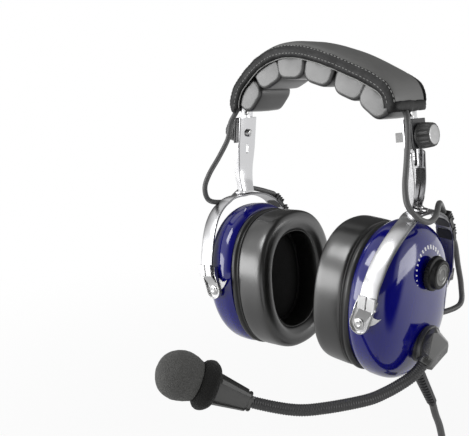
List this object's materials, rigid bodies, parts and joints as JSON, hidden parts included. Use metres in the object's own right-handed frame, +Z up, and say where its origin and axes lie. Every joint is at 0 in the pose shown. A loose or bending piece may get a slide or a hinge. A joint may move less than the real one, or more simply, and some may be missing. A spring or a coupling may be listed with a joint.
{
  "type": "aviation headset",
  "caption": "Wired over-ear pilot headset with sprung padded headband, slider arms, tilting cups, a swinging microphone boom and plug leads.",
  "frame": {"origin": "midway between the wearer's ears, on the line from ear to ear", "axes": "+X to the wearer's left, where the boom is; -Y to the wearer's front; +Z up"},
  "size_m": [0.1968, 0.243, 0.4173],
  "materials": {
    "spring_steel": "brushed",
    "bright_steel": "polished",
    "rivet_steel": "satin",
    "cover_leather": "soft satin",
    "cell_leather": "soft gloss",
    "pad_fabric": "matte",
    "black_plastic": "satin",
    "knob_plastic": "satin",
    "blue_shell": "high gloss",
    "seal_leather": "gloss",
    "ear_foam": "open foam",
    "speaker_plastic": "matte",
    "board_green": "satin",
    "cord_rubber": "satin",
    "boom_rubber": "satin, finely ribbed",
    "mic_metal": "satin",
    "mic_foam": "open foam",
    "plug_brass": "polished"
  },
  "bodies": {
    "headband": {"band_spring": "spring_steel", "band_cover": "cover_leather", "pad_cells": "cell_leather", "pad_liner": "pad_fabric", "band_rivets": "rivet_steel", "band_lead": "cord_rubber"},
    "arm_left": {"slider_arm_left": "bright_steel", "clamp_block_left": "black_plastic", "lead_upper_left": "cord_rubber"},
    "knob_left": {"clamp_knob_left": "knob_plastic"},
    "stirrup_left": {"stirrup_left": "bright_steel", "clip_brackets_left": "bright_steel", "cable_clips_left": "black_plastic", "swivel_rivet_left": "rivet_steel", "lead_middle_left": "cord_rubber"},
    "cup_left": {"cup_shell_left": "blue_shell", "cup_rim_left": "black_plastic", "ear_seal_left": "seal_leather", "cup_baffle_left": "black_plastic", "ear_speaker_left": "speaker_plastic", "foam_liner_left": "ear_foam", "pivot_pins_left": "rivet_steel", "lead_lower_left": "cord_rubber", "volume_pot": "mic_metal", "circuit_board": "board_green", "boom_boss": "black_plastic", "cord_gland": "cord_rubber", "main_cord": "cord_rubber", "cord_coil": "cord_rubber", "cord_splitter": "black_plastic", "branch_leads": "cord_rubber", "plug_grips": "black_plastic", "phone_plug": "plug_brass", "mic_plug": "plug_brass"},
    "arm_right": {"slider_arm_right": "bright_steel", "clamp_block_right": "black_plastic", "lead_upper_right": "cord_rubber"},
    "knob_right": {"clamp_knob_right": "knob_plastic"},
    "stirrup_right": {"stirrup_right": "bright_steel", "clip_brackets_right": "bright_steel", "cable_clips_right": "black_plastic", "swivel_rivet_right": "rivet_steel", "lead_middle_right": "cord_rubber"},
    "cup_right": {"cup_shell_right": "blue_shell", "cup_rim_right": "black_plastic", "ear_seal_right": "seal_leather", "cup_baffle_right": "black_plastic", "ear_speaker_right": "speaker_plastic", "foam_liner_right": "ear_foam", "pivot_pins_right": "rivet_steel", "lead_lower_right": "cord_rubber"},
    "volume_knob": {"volume_knob": "knob_plastic"},
    "boom": {"boom_housing": "knob_plastic", "boom_tube_inner": "boom_rubber"},
    "microphone": {"boom_tube_outer": "boom_rubber", "mic_body": "black_plastic", "mic_capsule": "mic_metal", "mic_foam": "mic_foam", "foam_collar": "mic_foam"}
  },
  "joints": [
    {"name": "arm_slide_left", "type": "slide", "parent": "headband", "child": "arm_left", "axis": [0.1045, -0.0486, -0.9933], "range_m": [0, 0.017], "deforming": ["lead_upper_left"]},
    {"name": "knob_turn_left", "type": "hinge", "parent": "arm_left", "child": "knob_left", "pos_m": [0.07259, 0.00542, 0.11085], "axis": [0.9945, 0.0051, 0.1044], "continuous": true},
    {"name": "stirrup_swivel_left", "type": "hinge", "parent": "arm_left", "child": "stirrup_left", "pos_m": [0.0794, 0.00304, 0.06213], "axis": [0.1201, 0.0485, 0.9916], "range_deg": [-15, 15], "deforming": ["lead_middle_left"]},
    {"name": "cup_tilt_left", "type": "hinge", "parent": "stirrup_left", "child": "cup_left", "pos_m": [0.0664, -0.00028, -0.00579], "axis": [0, 0.9988, -0.0489], "range_deg": [-10, 10], "deforming": ["lead_lower_left"]},
    {"name": "arm_slide_right", "type": "slide", "parent": "headband", "child": "arm_right", "axis": [-0.1045, -0.0486, -0.9933], "range_m": [0, 0.017], "deforming": ["lead_upper_right"]},
    {"name": "knob_turn_right", "type": "hinge", "parent": "arm_right", "child": "knob_right", "pos_m": [-0.07259, 0.00542, 0.11085], "axis": [-0.9945, 0.0051, 0.1044], "continuous": true},
    {"name": "stirrup_swivel_right", "type": "hinge", "parent": "arm_right", "child": "stirrup_right", "pos_m": [-0.0794, 0.00304, 0.06213], "axis": [-0.1201, 0.0485, 0.9916], "range_deg": [-15, 15], "deforming": ["lead_middle_right"]},
    {"name": "cup_tilt_right", "type": "hinge", "parent": "stirrup_right", "child": "cup_right", "pos_m": [-0.0664, -0.00028, -0.00579], "axis": [0, 0.9988, -0.0489], "range_deg": [-10, 10], "deforming": ["lead_lower_right"]},
    {"name": "volume_turn", "type": "hinge", "parent": "cup_left", "child": "volume_knob", "pos_m": [0.08972, 0.00061, 0.02148], "axis": [0.9954, -0.0047, -0.0957], "range_deg": [-140, 140]},
    {"name": "boom_swing", "type": "hinge", "parent": "cup_left", "child": "boom", "pos_m": [0.08544, 0.00062, -0.03031], "axis": [0.9954, -0.0047, -0.0957], "range_deg": [-25, 60]},
    {"name": "boom_flex", "type": "hinge", "parent": "boom", "child": "microphone", "pos_m": [0.052, -0.07, -0.0585], "axis": [0, 0, 1], "range_deg": [-20, 20]}
  ]
}
